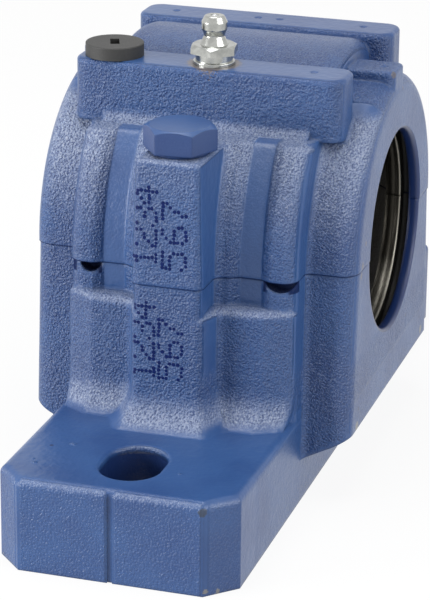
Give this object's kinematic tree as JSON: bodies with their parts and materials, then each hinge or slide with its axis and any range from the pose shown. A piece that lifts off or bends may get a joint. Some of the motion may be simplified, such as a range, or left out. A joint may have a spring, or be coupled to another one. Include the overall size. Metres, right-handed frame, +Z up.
{
  "type": "split plummer block",
  "caption": "Split plummer block: cast base and bolted cap around a self-aligning ball bearing on an adapter sleeve, with grease nipple, plug and slotted feet.",
  "frame": {"origin": "middle of the mounting face of the feet, under the shaft axis", "axes": "+X along the feet, +Y along the shaft axis towards the lock nut, +Z up through the cap"},
  "size_m": [0.205, 0.0844, 0.1193],
  "materials": {
    "base": "satin blue enamel over cast iron",
    "cap": "satin blue enamel over cast iron",
    "bolt": "blue enamel over steel",
    "pin": "ground",
    "plug": "moulded, dark grey",
    "nipple": "bright zinc",
    "ball": "polished",
    "spring": "drawn wire",
    "bearing_ring": "ground",
    "cage": "turned",
    "locating_ring": "turned",
    "sleeve": "turned, oiled"
  },
  "bodies": {
    "housing": {"base": "base", "cap": "cap", "cap_bolt_left": "bolt", "cap_bolt_right": "bolt", "dowel_left": "pin", "dowel_right": "pin", "plug": "plug", "nipple_body": "nipple", "nipple_spring": "spring", "outer_ring": "bearing_ring", "locating_ring_front": "locating_ring", "locating_ring_rear": "locating_ring"},
    "shaft_group": {"inner_ring": "bearing_ring", "adapter_sleeve": "sleeve", "tab_washer": "sleeve", "lock_nut": "sleeve"},
    "rolling_set": {"cage": "cage", "ball_row_front": "ball", "ball_row_rear": "ball"},
    "nipple_valve": {"nipple_ball": "ball"}
  },
  "joints": [
    {"name": "shaft_spin", "type": "hinge", "parent": "housing", "child": "shaft_group", "pos_m": [0, 0, 0.06], "axis": [0, 1, 0], "continuous": true},
    {"name": "cage_spin", "type": "hinge", "parent": "housing", "child": "rolling_set", "pos_m": [0, 0, 0.06], "axis": [0, 1, 0], "continuous": true},
    {"name": "nipple_ball_press", "type": "slide", "parent": "housing", "child": "nipple_valve", "axis": [0, 0, -1], "range_m": [0, 0.001], "stiffness_N_per_m": 500, "springref_m": -0.001, "deforming": ["nipple_spring"]}
  ],
  "couplings": [
    {"joint": "cage_spin", "follows": "shaft_spin", "ratio": 0.4206}
  ]
}
